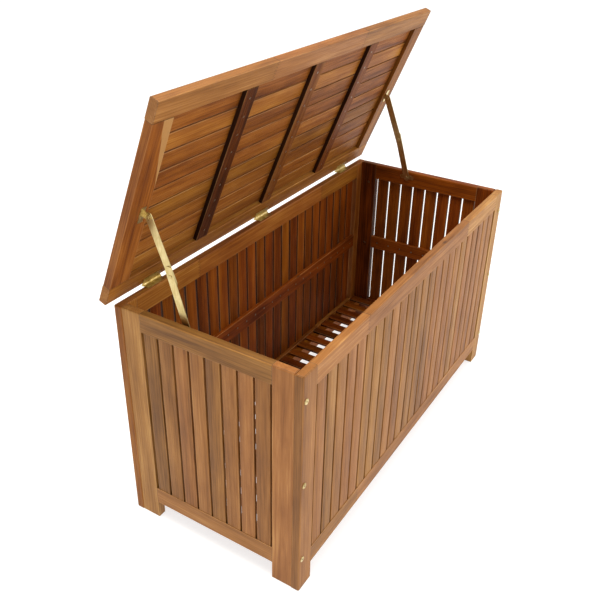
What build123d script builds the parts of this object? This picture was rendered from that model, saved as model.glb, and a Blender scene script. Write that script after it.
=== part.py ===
from build123d import *
import os
from math import acos, atan2, cos, degrees, hypot, radians, sin

# Slatted wooden deck storage box with a hinged lid and two folding lid stays.
#
# Frame: millimetres, +X along the length (viewer's right), +Y towards the
# rear, +Z up.  The origin is on the ground, midway along the length and
# midway between the front bolt heads and the rearmost edge of the open lid.
# The box stands with its lid open, held by the stays.

# ---- Carcass ---------------------------------------------------------------
box_length = 1200.0          # outside, front and rear panels
box_depth = 514.0            # outside, over front and rear panels
box_height = 632.0           # ground to top edge, lid not counted
board_thickness = 22.0       # stiles and rails
front_stile_width = 53.0     # front and rear panels
end_stile_width = 55.0       # left and right panels
top_rail_height = 50.0
bottom_rail_height = 50.0
foot_height = 52.5           # stile ends below the bottom rails
end_panel_inset = 1.0        # end panels sit back from the long panels' ends
mid_rail_height = 45.0       # inner batten at mid height
corner_round = 4.0           # outer vertical corners and top edges
joint_ease = 2.0             # edges that meet along the end panels' corners
edge_ease = 1.2              # all other long edges

# ---- Wall slats ------------------------------------------------------------
slat_width = 38.5
slat_gap = 6.5               # aimed for; the real gap shares out the opening
slat_thickness = 9.0
slat_inset = 1.5             # slat face behind the frame's outer face
slat_ease = 1.4
slat_groove = 8.0            # depth of the rail grooves that hold slat ends

# ---- Joints and fasteners --------------------------------------------------
tenon_length = 24.0
tenon_thickness = 8.0
tenon_shoulder = 9.0         # taken off each side of a rail's height
bolt_shank_radius = 3.0
bolt_head_radius = 7.0
bolt_head_height = 2.0
bolt_head_round = 0.9
bolt_socket_across = 4.0
bolt_socket_depth = 3.0
bolt_hole_radius = 3.2
bolt_length = 60.0           # under the head
bolt_hole_spare = 1.0        # hole past the bolt's tip
bolt_low_height = 101.0      # lowest bolt above the ground
bolt_top_drop = 67.0         # highest bolt below the top edge
nut_radius = 5.0
nut_length = 15.0
nut_recess = 1.0             # nut end below the stile's inner face
nut_setback = 8.0            # nut axis before the bolt's tip
nut_chamfer = 0.6
nut_slot_width = 1.2         # screwdriver slot in the outer end
nut_slot_depth = 0.8
thread_clearance = 0.05
screw_head_radius = 3.0
screw_shank_radius = 1.5
screw_head_depth = 1.8
screw_tip = 3.0
screw_clearance = 0.1
cut_margin = 1.0             # how far a through cut runs past its faces
slat_screw_bite = 4.5        # into a wall slat, past the inner rail
lid_screw_bite = 4.3         # into a lid slat, past the batten
floor_screw_bite = 6.0       # into a floor slat, up through a ledger
ledger_screw_bite = 13.0     # into a bottom rail, through a ledger

# ---- Floor -----------------------------------------------------------------
floor_height = 100.0         # top of the floor slats
floor_slat_width = 30.0
floor_slat_gap = 24.0        # aimed for
floor_slat_thickness = 8.0
floor_end_clearance = 0.5
ledger_width = 26.0
ledger_height = 39.0
ledger_screw_step = 3        # one ledger screw to every third floor gap

# ---- Lid -------------------------------------------------------------------
lid_thickness = 21.0
lid_end_overhang = 20.0
lid_front_overhang = 26.0
lid_rail_width = 50.0
lid_stile_width = 62.0
lid_slat_width = 44.0
lid_slat_gap = 4.0
lid_slat_thickness = 8.5
lid_slat_inset = 0.8
lid_batten_width = 44.0
lid_batten_spacing = 292.0
lid_round = 2.5
lid_open_angle = 67.5

# ---- Hinges ----------------------------------------------------------------
hinge_length = 63.0
hinge_end_distance = 133.0   # outer hinges' centres from the box ends
hinge_barrel_radius = 3.0
hinge_pin_radius = 1.5
hinge_pin_clearance = 0.08
hinge_pin_head_radius = 2.4
hinge_pin_head_height = 1.2
hinge_pin_head_gap = 0.3     # between the barrel's end and the pin's head
hinge_leaf_thickness = 1.5
hinge_leaf_width = 20.0      # from the pin's axis
hinge_leaf_corner = 2.0
hinge_knuckles = 5
hinge_knuckle_gap = 0.3
hinge_relief = 0.5           # leaf cut back round the other leaf's knuckles
hinge_wall_gap = 0.2         # barrel behind the rear panel
hinge_axis_rise = 2.0        # pin axis above the box's top edge, and lid's underside above it
hinge_lid_setback = 2.6      # lid's rear edge in front of the pin axis
hinge_screw_pitch = 24.0
hinge_screw_near = 11.0
hinge_screw_far = 15.0
hinge_screw_length = 16.0

# ---- Folding lid stays -----------------------------------------------------
stay_box_pivot_reach = 197.0   # in front of the hinge pin
stay_box_pivot_drop = 20.5     # below the hinge pin
stay_lid_pivot_reach = 255.0   # in front of the hinge pin, lid closed
stay_lid_pivot_drop = 12.0     # below the lid's underside
stay_upper_length = 138.0      # pivot to elbow
stay_slack = 0.2               # arms' total length past the straight line
stay_arm_width = 20.0
stay_arm_thickness = 2.0
stay_arm_overlap = 25.0        # each arm past the elbow
stay_arm_ease = 0.4
stay_wall_distance = 5.4       # lower arm from the end panel's inner face
stay_arm_gap = 0.3
stay_rivet_radius = 2.5
stay_rivet_clearance = 0.05
stay_rivet_head_radius = 4.5
stay_rivet_head = 1.5
stay_rivet_round = 1.05
stay_plate_thickness = 1.8
stay_box_plate_length = 50.0
stay_box_plate_height = 14.0
stay_box_boss_radius = 6.0
stay_box_screw_offset = 17.0
stay_lid_plate_length = 42.0
stay_lid_plate_width = 16.0
stay_lid_plate_corner = 3.0
stay_lid_tab_radius = 8.0
stay_lid_screw_offset = 14.0
stay_screw_length = 16.0

# ---- Derived places --------------------------------------------------------
half_length = box_length / 2
inner_half_length = half_length - end_panel_inset - board_thickness
end_panel_width = box_depth - 2 * board_thickness
lid_length = box_length + 2 * lid_end_overhang
hinge_axis_back = hinge_wall_gap + hinge_barrel_radius
lid_depth = box_depth + hinge_axis_back - hinge_lid_setback + lid_front_overhang
lid_rear_top = (-hinge_lid_setback, hinge_axis_rise + lid_thickness)
open_turn = radians(lid_open_angle)
lid_rear_reach = lid_rear_top[0] * cos(open_turn) + lid_rear_top[1] * sin(open_turn)
front_y = -(box_depth + hinge_axis_back + lid_rear_reach - bolt_head_height) / 2
rear_y = front_y + box_depth
axis_y = rear_y + hinge_axis_back
axis_z = box_height + hinge_axis_rise
bottom_rail_top = foot_height + bottom_rail_height
top_rail_bottom = box_height - top_rail_height
mid_rail_centre = (bottom_rail_top + top_rail_bottom) / 2
slat_back = slat_inset + slat_thickness
slat_screw_length = board_thickness - slat_back + slat_screw_bite
floor_screw_length = ledger_height + floor_screw_bite
ledger_screw_length = ledger_width + ledger_screw_bite
bolt_heights = [bolt_low_height, (bolt_low_height + box_height - bolt_top_drop) / 2,
                box_height - bolt_top_drop]


def span_box(x0, x1, y0, y1, z0, z1):
    """A plain block between the given limits."""
    return Pos((x0 + x1) / 2, (y0 + y1) / 2, (z0 + z1) / 2) * Box(x1 - x0, y1 - y0, z1 - z0)


def lengthwise_board(x0, x1, y0, y1, z0, z1, axis, ease):
    """A block whose long edges, parallel to axis, are eased."""
    blank = span_box(x0, x1, y0, y1, z0, z1)
    return fillet(blank.edges().filter_by(axis), ease)


def spread(opening, width, aim, end_gaps=True):
    """Centres of equal pieces shared out over an opening that is centred on 0."""
    ends = 1 if end_gaps else -1
    count = round((opening - ends * aim) / (width + aim))
    gap = (opening - count * width) / (count + ends)
    first = -opening / 2 + (gap if end_gaps else 0) + width / 2
    return [first + i * (width + gap) for i in range(count)]


def turned(points):
    """The solid that a closed (radius, height) outline makes round the Z axis."""
    outline = make_face(Plane.XZ * Polyline(*points, close=True))
    return revolve(outline, Axis.Z)


def screw(length, clearance=0.0):
    """Countersunk screw, head flush at z = 0, point downwards; clearance widens its shank."""
    shank = screw_shank_radius + clearance
    return turned([(0, 0), (screw_head_radius, 0), (shank, -screw_head_depth),
                   (shank, -length + screw_tip), (0, -length)])


def group(pieces):
    """Identical separate pieces as one compound."""
    return Compound(children=list(pieces))


def drilled(piece, holes):
    """The piece with every hole taken out of it."""
    return piece - holes if holes else piece


# ---- Wall panels, in their own frame: width on X, outer face at y = 0, ------
# ---- thickness inwards along +Y, ground at z = 0 ----------------------------

def panel_stile(side, width, half_width, rounded_corner):
    """A full-height upright at one side of a panel, mortised for both rails."""
    inner = side * (half_width - width)
    outer = side * half_width
    post = span_box(min(inner, outer), max(inner, outer), 0, board_thickness, 0, box_height)
    corner, back = outer_uprights(post, side)
    top = post.faces().sort_by(Axis.Z)[-1]
    long_top = top.edges().filter_by(Axis.X)
    if rounded_corner:
        end_top = top.edges().filter_by(Axis.Y).sort_by(Axis.X)[-1 if side > 0 else 0]
        post = fillet([*long_top, end_top, corner], corner_round)
        _, back = outer_uprights(post, side)
        post = fillet(back, joint_ease)
    else:
        post = fillet(corner, joint_ease)
        top = post.faces().sort_by(Axis.Z)[-1]
        post = fillet(top.edges().filter_by(Axis.X), corner_round)
    foot = post.faces().sort_by(Axis.Z)[0]
    post = fillet(foot.edges(), edge_ease)
    return drilled(post, [rail_tenon(side, half_width - width, *span)
                          for span in (bottom_rail_span(), top_rail_span())])


def outer_uprights(post, side):
    """The two upright edges on a stile's outer side, the panel's outer face first."""
    uprights = post.edges().filter_by(Axis.Z).sort_by(Axis.X)
    pair = uprights[-2:] if side > 0 else uprights[:2]
    return pair.sort_by(Axis.Y)


def bottom_rail_span():
    """Lowest and highest points of a bottom rail."""
    return foot_height, bottom_rail_top


def top_rail_span():
    """Lowest and highest points of a top rail."""
    return top_rail_bottom, box_height


def rail_tenon(side, half_opening, z0, z1):
    """The tongue on a rail's end, which fills the stile's mortise."""
    start = side * half_opening
    end = side * (half_opening + tenon_length)
    middle = board_thickness / 2
    return span_box(min(start, end), max(start, end), middle - tenon_thickness / 2,
                    middle + tenon_thickness / 2, z0 + tenon_shoulder, z1 - tenon_shoulder)


def panel_rail(half_opening, z0, z1, groove_at_top):
    """A rail between the stiles, with tenons and a groove for the slat ends."""
    blank = span_box(-half_opening, half_opening, 0, board_thickness, z0, z1)
    along = blank.edges().filter_by(Axis.X).sort_by(Axis.Z)
    round_edges, ease_edges = (along[:2], along[2:]) if groove_at_top else (along[2:], along[:2])
    if groove_at_top:
        rail = fillet(along, edge_ease)
    else:
        rail = fillet(round_edges, corner_round)
        low = rail.edges().filter_by(Axis.X).sort_by(Axis.Z)[:2]
        rail = fillet(low, edge_ease)
    mouth = z1 if groove_at_top else z0
    bed = mouth - slat_groove if groove_at_top else mouth + slat_groove
    rail -= span_box(-half_opening, half_opening, slat_inset, slat_back, min(mouth, bed), max(mouth, bed))
    return rail + [rail_tenon(side, half_opening, z0, z1) for side in (-1, 1)]


def panel_parts(width, stile_width, rounded_corner):
    """Stiles, rails, slats and screws of one wall panel, as a dictionary."""
    half_width = width / 2
    half_opening = half_width - stile_width
    places = spread(2 * half_opening, slat_width, slat_gap)
    drive = [Pos(x, board_thickness, mid_rail_centre) * Rot(-90, 0, 0) for x in places]
    holes = [place * screw(slat_screw_length, screw_clearance) for place in drive]
    mid_rail = lengthwise_board(-half_opening, half_opening, slat_back, board_thickness,
                                mid_rail_centre - mid_rail_height / 2,
                                mid_rail_centre + mid_rail_height / 2, Axis.X, edge_ease)
    slat = lengthwise_board(-slat_width / 2, slat_width / 2, slat_inset, slat_back,
                            bottom_rail_top - slat_groove, top_rail_bottom + slat_groove,
                            Axis.Z, slat_ease)
    slats = [Pos(x, 0, 0) * slat - hole for x, hole in zip(places, holes)]
    return {
        "low_stile": panel_stile(-1, stile_width, half_width, rounded_corner),
        "high_stile": panel_stile(1, stile_width, half_width, rounded_corner),
        "top_rail": panel_rail(half_opening, *top_rail_span(), groove_at_top=False),
        "bottom_rail": panel_rail(half_opening, *bottom_rail_span(), groove_at_top=True),
        "mid_rail": drilled(mid_rail, holes),
        "slats": group(slats),
        "screws": [place * screw(slat_screw_length) for place in drive],
    }


def corner_bolt():
    """Flat-headed bolt with a hexagon socket, head's underside at z = 0, pointing down."""
    shank = Pos(0, 0, -bolt_length / 2) * Cylinder(bolt_shank_radius, bolt_length)
    head = Pos(0, 0, bolt_head_height / 2) * Cylinder(bolt_head_radius, bolt_head_height)
    rim = head.edges().group_by(Axis.Z)[-1]
    head = fillet(rim, bolt_head_round)
    socket = extrude(RegularPolygon(bolt_socket_across / 2, 6, major_radius=False), bolt_socket_depth)
    return head + shank - Pos(0, 0, bolt_head_height - bolt_socket_depth) * socket


def barrel_nut(bolt_offset):
    """Cross nut on the Z axis, outer end at z = 0; the bolt crosses it along Y."""
    barrel = Pos(0, 0, -nut_length / 2) * Cylinder(nut_radius, nut_length)
    barrel = chamfer(barrel.edges().group_by(Axis.Z)[-1], nut_chamfer)
    across = 2 * (nut_radius + cut_margin)
    thread = Cylinder(bolt_shank_radius + thread_clearance, across)
    slot = Box(nut_slot_width, across, 2 * nut_slot_depth)
    return barrel - Pos(0, 0, -bolt_offset) * Rot(90, 0, 0) * thread - slot


def corner_fixings():
    """Bolts, nuts, and the two kinds of hole they need, at all four corners."""
    bolt, bolts, nuts, bolt_holes, nut_holes = corner_bolt(), [], [], [], []
    bolt_x = half_length - end_panel_inset - board_thickness / 2
    nut_x = inner_half_length + nut_recess
    nut = barrel_nut(bolt_x - nut_x)
    bolt_bore = bolt_length + bolt_hole_spare
    for side in (-1, 1):
        for face_y, inward in ((front_y, 1), (rear_y, -1)):
            for height in bolt_heights:
                drive = Pos(side * bolt_x, face_y, height) * Rot(90 * inward, 0, 0)
                bolts.append(drive * bolt)
                bolt_holes.append(drive * Pos(0, 0, -bolt_bore / 2) * Cylinder(bolt_hole_radius, bolt_bore))
                nut_y = face_y + inward * (bolt_length - nut_setback)
                seat = Pos(side * nut_x, nut_y, height) * Rot(0, -90 * side, 0)
                nuts.append(seat * nut)
                nut_holes.append(seat * Pos(0, 0, (nut_recess - nut_length) / 2)
                                 * Cylinder(nut_radius, nut_length + nut_recess))
    return bolts, nuts, bolt_holes, nut_holes


# ---- Floor -----------------------------------------------------------------

def floor_parts():
    """Floor slats on two ledgers, with every screw that holds them."""
    inner_front = front_y + board_thickness
    inner_rear = rear_y - board_thickness
    under = floor_height - floor_slat_thickness
    places = spread(2 * inner_half_length, floor_slat_width, floor_slat_gap, end_gaps=False)
    gaps = [(a + b) / 2 for a, b in zip(places, places[1:])]
    ledger_lines = {"front_ledger": (inner_front, 1), "rear_ledger": (inner_rear, -1)}
    upward = [Pos(x, wall + inward * ledger_width / 2, under - ledger_height) * Rot(180, 0, 0)
              for x in places for wall, inward in ledger_lines.values()]
    slat = lengthwise_board(-floor_slat_width / 2, floor_slat_width / 2,
                            inner_front + floor_end_clearance, inner_rear - floor_end_clearance,
                            under, floor_height, Axis.Y, slat_ease)
    floor_holes = [place * screw(floor_screw_length, screw_clearance) for place in upward]
    slats = [Pos(x, 0, 0) * slat - floor_holes[2 * i:2 * i + 2] for i, x in enumerate(places)]
    parts = {"floor_slats": group(slats),
             "floor_screws": group([place * screw(floor_screw_length) for place in upward])}
    cross_screws, cross_holes = [], []
    for name, (wall, inward) in ledger_lines.items():
        drive = [Pos(x, wall + inward * ledger_width, under - ledger_height / 2) * Rot(-90 * inward, 0, 0)
                 for x in gaps[1::ledger_screw_step]]
        holes = [place * screw(ledger_screw_length, screw_clearance) for place in drive]
        edge = wall + inward * ledger_width
        ledger = lengthwise_board(-inner_half_length, inner_half_length, min(wall, edge), max(wall, edge),
                                  under - ledger_height, under, Axis.X, edge_ease)
        first = 0 if inward > 0 else 1
        parts[name] = ledger - holes - floor_holes[first::2]
        cross_screws += [place * screw(ledger_screw_length) for place in drive]
        cross_holes += holes
    parts["ledger_screws"] = group(cross_screws)
    return parts, cross_holes


# ---- Lid, in the hinge frame: origin on the pin axis, lid closed -----------

lid_under = hinge_axis_rise
lid_top = lid_under + lid_thickness
lid_rear = -hinge_lid_setback
lid_front = lid_rear - lid_depth
lid_slat_top = lid_top - lid_slat_inset
lid_slat_under = lid_slat_top - lid_slat_thickness
lid_screw_length = lid_slat_under - lid_under + lid_screw_bite
lid_half_opening = lid_length / 2 - lid_stile_width
lid_batten_places = [-lid_batten_spacing, 0.0, lid_batten_spacing]


def lid_tenon(side, end):
    """Tongue on one end of a lid stile; side is the stile's, end is -1 front, +1 rear."""
    middle_x = side * (lid_half_opening + lid_stile_width / 2)
    shoulder_y = lid_rear - lid_rail_width if end > 0 else lid_front + lid_rail_width
    tip_y = shoulder_y + end * tenon_length
    half = lid_stile_width / 2 - tenon_shoulder
    middle_z = (lid_under + lid_top) / 2
    return span_box(middle_x - half, middle_x + half, min(shoulder_y, tip_y), max(shoulder_y, tip_y),
                    middle_z - tenon_thickness / 2, middle_z + tenon_thickness / 2)


def lid_rail(end):
    """Full-length front (-1) or rear (+1) rail of the lid, mortised for the stiles."""
    y0 = lid_rear - lid_rail_width if end > 0 else lid_front
    rail = lengthwise_board(-lid_length / 2, lid_length / 2, y0, y0 + lid_rail_width,
                            lid_under, lid_top, Axis.X, lid_round)
    return rail - [lid_tenon(side, end) for side in (-1, 1)]


def lid_stile(side):
    """A lid end board between the rails, grooved for the slats."""
    inner = side * lid_half_opening
    outer = side * lid_length / 2
    board = span_box(min(inner, outer), max(inner, outer), lid_front + lid_rail_width,
                     lid_rear - lid_rail_width, lid_under, lid_top)
    along = board.edges().filter_by(Axis.Y).sort_by(Axis.X)
    outer_edges = along[2:] if side > 0 else along[:2]
    board = fillet(outer_edges, lid_round)
    bed = side * (lid_half_opening + slat_groove)
    board -= span_box(min(inner, bed), max(inner, bed), lid_front + lid_rail_width,
                      lid_rear - lid_rail_width, lid_slat_under, lid_slat_top)
    return board + [lid_tenon(side, end) for end in (-1, 1)]


def lid_parts():
    """Every wooden piece of the lid and the screws that hold its slats."""
    opening = lid_depth - 2 * lid_rail_width
    middle_y = (lid_rear + lid_front) / 2
    rows = [middle_y + y for y in spread(opening, lid_slat_width, lid_slat_gap)]
    drive = [[Pos(x, y, lid_under) * Rot(180, 0, 0) for y in rows] for x in lid_batten_places]
    holes = [[place * screw(lid_screw_length, screw_clearance) for place in line] for line in drive]
    reach = lid_half_opening + slat_groove
    slat = lengthwise_board(-reach, reach, -lid_slat_width / 2, lid_slat_width / 2,
                            lid_slat_under, lid_slat_top, Axis.X, slat_ease)
    slats = [Pos(0, y, 0) * slat - [line[i] for line in holes] for i, y in enumerate(rows)]
    parts = {
        "lid_front_rail": lid_rail(-1),
        "lid_rear_rail": lid_rail(1),
        "lid_left_stile": lid_stile(-1),
        "lid_right_stile": lid_stile(1),
        "lid_slats": group(slats),
        "lid_slat_screws": group([place * screw(lid_screw_length) for line in drive for place in line]),
    }
    for name, x, line in zip(("left", "middle", "right"), lid_batten_places, holes):
        batten = lengthwise_board(x - lid_batten_width / 2, x + lid_batten_width / 2,
                                  lid_front + lid_rail_width, lid_rear - lid_rail_width,
                                  lid_under, lid_slat_under, Axis.Y, edge_ease)
        parts[f"lid_{name}_batten"] = batten - line
    return parts


# ---- Hinges, in the hinge frame --------------------------------------------

knuckle_length = (hinge_length - (hinge_knuckles - 1) * hinge_knuckle_gap) / hinge_knuckles
hinge_places = [-(half_length - hinge_end_distance), 0.0, half_length - hinge_end_distance]
hinge_screw_spots = [(-hinge_screw_pitch, -hinge_screw_near), (0.0, -hinge_screw_far),
                     (hinge_screw_pitch, -hinge_screw_near)]


def knuckle_span(index):
    """Start and end of one knuckle along the pin."""
    start = -hinge_length / 2 + index * (knuckle_length + hinge_knuckle_gap)
    return start, start + knuckle_length


def hinge_leaf(on_lid):
    """One leaf with its knuckles: the box's takes the odd ones, the lid's the others."""
    face = hinge_axis_rise if on_lid else -hinge_axis_rise
    back = face - hinge_leaf_thickness if on_lid else face + hinge_leaf_thickness
    half = hinge_length / 2
    plate = span_box(-half, half, -hinge_leaf_width, 0, min(face, back), max(face, back))
    corners = plate.edges().filter_by(Axis.Z).sort_by(Axis.Y)[:2]
    leaf = fillet(corners, hinge_leaf_corner)
    own = [i for i in range(hinge_knuckles) if (i % 2 == 1) == on_lid]
    deep = hinge_barrel_radius + cut_margin
    for index in range(hinge_knuckles):
        start, end = knuckle_span(index)
        if index in own:
            leaf += Pos((start + end) / 2, 0, 0) * Rot(0, 90, 0) * Cylinder(hinge_barrel_radius, end - start)
        else:
            leaf -= span_box(start - hinge_knuckle_gap, end + hinge_knuckle_gap,
                             -hinge_barrel_radius - hinge_relief, hinge_barrel_radius, -deep, deep)
    bore = Rot(0, 90, 0) * Cylinder(hinge_pin_radius + hinge_pin_clearance, hinge_length + 2 * cut_margin)
    turn = Rot(180, 0, 0) if on_lid else Rot(0, 0, 0)
    holes = [Pos(x, y, back) * turn * screw(hinge_screw_length, screw_clearance)
             for x, y in hinge_screw_spots]
    return leaf - bore - holes


def hinge_pin():
    """The pin, with a flat head just clear of the barrel at each end."""
    head_place = (hinge_length + hinge_pin_head_height) / 2 + hinge_pin_head_gap
    pin = Rot(0, 90, 0) * Cylinder(hinge_pin_radius, 2 * head_place)
    heads = [Pos(side * head_place, 0, 0) * Rot(0, 90, 0)
             * Cylinder(hinge_pin_head_radius, hinge_pin_head_height) for side in (-1, 1)]
    return pin + heads


def hinge_screws(on_lid, clearance=0.0):
    """All the screws of one leaf at each hinge."""
    back = (hinge_axis_rise - hinge_leaf_thickness) * (1 if on_lid else -1)
    turn = Rot(180, 0, 0) if on_lid else Rot(0, 0, 0)
    return [Pos(place + x, y, back) * turn * screw(hinge_screw_length, clearance)
            for place in hinge_places for x, y in hinge_screw_spots]


# ---- Stays: pivot points in the hinge frame as (y, z) ----------------------

def opened(point):
    """A point of the closed lid, turned with it to the open angle."""
    y, z = point
    return y * cos(open_turn) + z * sin(open_turn), -y * sin(open_turn) + z * cos(open_turn)


def elbow_point(low, high, lower_length, upper_length):
    """The elbow in front of and below the line between the pivots."""
    dy, dz = high[0] - low[0], high[1] - low[1]
    distance = hypot(dy, dz)
    along = (lower_length ** 2 - upper_length ** 2 + distance ** 2) / (2 * distance)
    off = (lower_length ** 2 - along ** 2) ** 0.5
    return (low[0] + (dy * along - dz * off) / distance, low[1] + (dz * along + dy * off) / distance)


def lean(start, end):
    """Turn about +X, in degrees, that swings an upright arm to point from start to end."""
    return degrees(atan2(start[0] - end[0], end[1] - start[1]))


box_pivot = (-stay_box_pivot_reach, -stay_box_pivot_drop)
lid_pivot_closed = (-stay_lid_pivot_reach, hinge_axis_rise - stay_lid_pivot_drop)
lid_pivot_open = opened(lid_pivot_closed)
stay_reach = hypot(lid_pivot_open[0] - box_pivot[0], lid_pivot_open[1] - box_pivot[1])
stay_lower_length = stay_reach + stay_slack - stay_upper_length
elbow_open = elbow_point(box_pivot, lid_pivot_open, stay_lower_length, stay_upper_length)
elbow_closed = elbow_point(box_pivot, lid_pivot_closed, stay_lower_length, stay_upper_length)
lower_start = stay_wall_distance
upper_start = lower_start + stay_arm_thickness + stay_arm_gap
tab_start = upper_start - stay_arm_gap - stay_plate_thickness


def cross_cylinder(radius, start, end, y=0.0, z=0.0):
    """A cylinder along X between two distances in from the right wall's inner face."""
    middle = inner_half_length - (start + end) / 2
    return Pos(middle, y, z) * Rot(0, 90, 0) * Cylinder(radius, end - start)


def domed_head(radius, height, start, outward):
    """A rivet head on an X axis; outward is +1 away from the wall, -1 towards it."""
    shape = Pos(0, 0, height / 2) * Cylinder(radius, height)
    shape = fillet(shape.edges().group_by(Axis.Z)[-1], stay_rivet_round)
    return Pos(inner_half_length - start, 0, 0) * Rot(0, -90 * outward, 0) * shape


def stay_arm(start, length, pivot_radius):
    """An upright flat arm on its pivot, its far end rounded past the elbow hole."""
    end = start + stay_arm_thickness
    half = stay_arm_width / 2
    x0, x1 = inner_half_length - end, inner_half_length - start
    tip = length + stay_arm_overlap - half
    arm = span_box(x0, x1, -half, half, 0, tip)
    arm += [cross_cylinder(half, start, end), cross_cylinder(half, start, end, z=tip)]
    arm -= cross_cylinder(pivot_radius, start - cut_margin, end + cut_margin)
    arm -= cross_cylinder(stay_rivet_radius, start - cut_margin, end + cut_margin, z=length)
    return fillet(arm.edges().filter_by(GeomType.LINE), stay_arm_ease)


def swung(shape, pivot, towards):
    """An upright arm's shape set on its pivot, pointing towards another point."""
    return Pos(0, axis_y + pivot[0], axis_z + pivot[1]) * Rot(lean(pivot, towards), 0, 0) * shape


def box_bracket():
    """Plate on the end panel's top rail with a boss that carries the lower arm."""
    half = stay_box_plate_length / 2
    radius = stay_box_plate_height / 2
    x1 = inner_half_length
    plate = span_box(x1 - stay_plate_thickness, x1, -half + radius, half - radius, -radius, radius)
    plate += [cross_cylinder(radius, 0, stay_plate_thickness, y=side * (half - radius)) for side in (-1, 1)]
    plate += cross_cylinder(stay_box_boss_radius, 0, lower_start - stay_arm_gap)
    return plate - cross_cylinder(stay_rivet_radius, 0, lower_start) - box_stay_screws(screw_clearance)


def box_stay_screws(clearance=0.0):
    """The two screws of a box bracket, about its pivot."""
    x = inner_half_length - stay_plate_thickness
    return [Pos(x, side * stay_box_screw_offset, 0) * Rot(0, -90, 0) * screw(stay_screw_length, clearance)
            for side in (-1, 1)]


def box_rivet():
    """Rivet from the box bracket's boss through the lower arm."""
    head_start = lower_start + stay_arm_thickness + stay_arm_gap
    return (cross_cylinder(stay_rivet_radius, 0, head_start)
            + domed_head(stay_rivet_head_radius, stay_rivet_head, head_start, 1))


def lid_bracket():
    """Angle bracket under the lid: a screwed plate and a tab with the upper arm's pivot."""
    top = stay_lid_pivot_drop
    x0 = inner_half_length - tab_start - stay_plate_thickness
    half = stay_lid_plate_length / 2
    plate = span_box(x0, x0 + stay_lid_plate_width, -half, half, top - stay_plate_thickness, top)
    plate = fillet(plate.edges().filter_by(Axis.Z).sort_by(Axis.X)[2:], stay_lid_plate_corner)
    radius = stay_lid_tab_radius
    tab = span_box(x0, x0 + stay_plate_thickness, -radius, radius, 0, top)
    tab += cross_cylinder(radius, tab_start, tab_start + stay_plate_thickness)
    hole = cross_cylinder(stay_rivet_radius, tab_start - cut_margin,
                          tab_start + stay_plate_thickness + cut_margin)
    return plate + tab - hole - lid_stay_screws(screw_clearance)


def lid_stay_screws(clearance=0.0):
    """The two screws of a lid bracket, about its pivot."""
    x = inner_half_length - tab_start - stay_plate_thickness / 2 + stay_lid_plate_width / 2
    z = stay_lid_pivot_drop - stay_plate_thickness
    return [Pos(x, side * stay_lid_screw_offset, z) * Rot(180, 0, 0) * screw(stay_screw_length, clearance)
            for side in (-1, 1)]


def lid_rivet():
    """Rivet through the lid bracket's tab and the upper arm, headed at both ends."""
    far = upper_start + stay_arm_thickness + stay_arm_gap
    return (cross_cylinder(stay_rivet_radius, tab_start, far)
            + domed_head(stay_rivet_head_radius, stay_rivet_head, far, 1)
            + domed_head(stay_rivet_head_radius, stay_rivet_head, tab_start, -1))


def elbow_rivet(start, outward, length):
    """Half of the elbow rivet: it fills its own arm's hole and is headed on the outside."""
    end = start + stay_arm_thickness
    head_at = end if outward > 0 else start
    return (cross_cylinder(stay_rivet_radius, start, end, z=length)
            + Pos(0, 0, length) * domed_head(stay_rivet_head_radius, stay_rivet_head, head_at, outward))


# ---- Assembly --------------------------------------------------------------

def both_sides(shape):
    """A right-hand piece and its mirror image for the left."""
    return [mirror(shape, Plane.YZ), shape]


def on_box_axis(shape):
    """A hinge-frame shape set on the box."""
    return Pos(0, axis_y, axis_z) * shape


def on_open_lid(shape):
    """A closed-lid, hinge-frame shape turned to the open pose."""
    return Pos(0, axis_y, axis_z) * Rot(-lid_open_angle, 0, 0) * shape


def build_walls(nodes):
    """Four panels, the bolts and nuts that join them, and the slat screws."""
    bolts, nuts, bolt_holes, nut_holes = corner_fixings()
    long_panel = panel_parts(box_length, front_stile_width, True)
    end_panel = panel_parts(end_panel_width, end_stile_width, False)
    middle_y = (front_y + rear_y) / 2
    edge_x = half_length - end_panel_inset
    panels = [
        ("front", long_panel, Location((0, front_y, 0)), "left", "right"),
        ("rear", long_panel, Location((0, rear_y, 0), (0, 0, 180)), "right", "left"),
        ("left", end_panel, Location((-edge_x, middle_y, 0), (0, 0, -90)), "rear", "front"),
        ("right", end_panel, Location((edge_x, middle_y, 0), (0, 0, 90)), "front", "rear"),
    ]
    screws = []
    for name, parts, place, low_name, high_name in panels:
        for key in ("top_rail", "bottom_rail", "mid_rail", "slats"):
            nodes[f"{name}_{key}"] = place * parts[key]
        for key, stile_name in (("low_stile", low_name), ("high_stile", high_name)):
            nodes[f"{name}_{stile_name}_stile"] = place * parts[key] - bolt_holes - nut_holes
        screws += [place * piece for piece in parts["screws"]]
    nodes["slat_screws"] = group(screws)
    nodes["corner_bolts"] = group(bolts)
    nodes["barrel_nuts"] = group(nuts)


def build_floor(nodes):
    """Floor slats and ledgers, with the ledger screws' holes in the bottom rails."""
    parts, holes = floor_parts()
    nodes.update(parts)
    for rail in ("front_bottom_rail", "rear_bottom_rail"):
        nodes[rail] = nodes[rail] - holes


def build_lid(nodes):
    """The lid in its open place, with holes for hinge and stay screws."""
    stay_holes = [Pos(0, *lid_pivot_closed) * hole for hole in lid_stay_screws(screw_clearance)]
    sides = {"lid_right_stile": stay_holes, "lid_left_stile": [mirror(hole, Plane.YZ) for hole in stay_holes],
             "lid_rear_rail": hinge_screws(True, screw_clearance)}
    for name, shape in lid_parts().items():
        nodes[name] = on_open_lid(drilled(shape, sides.get(name, [])))


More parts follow.
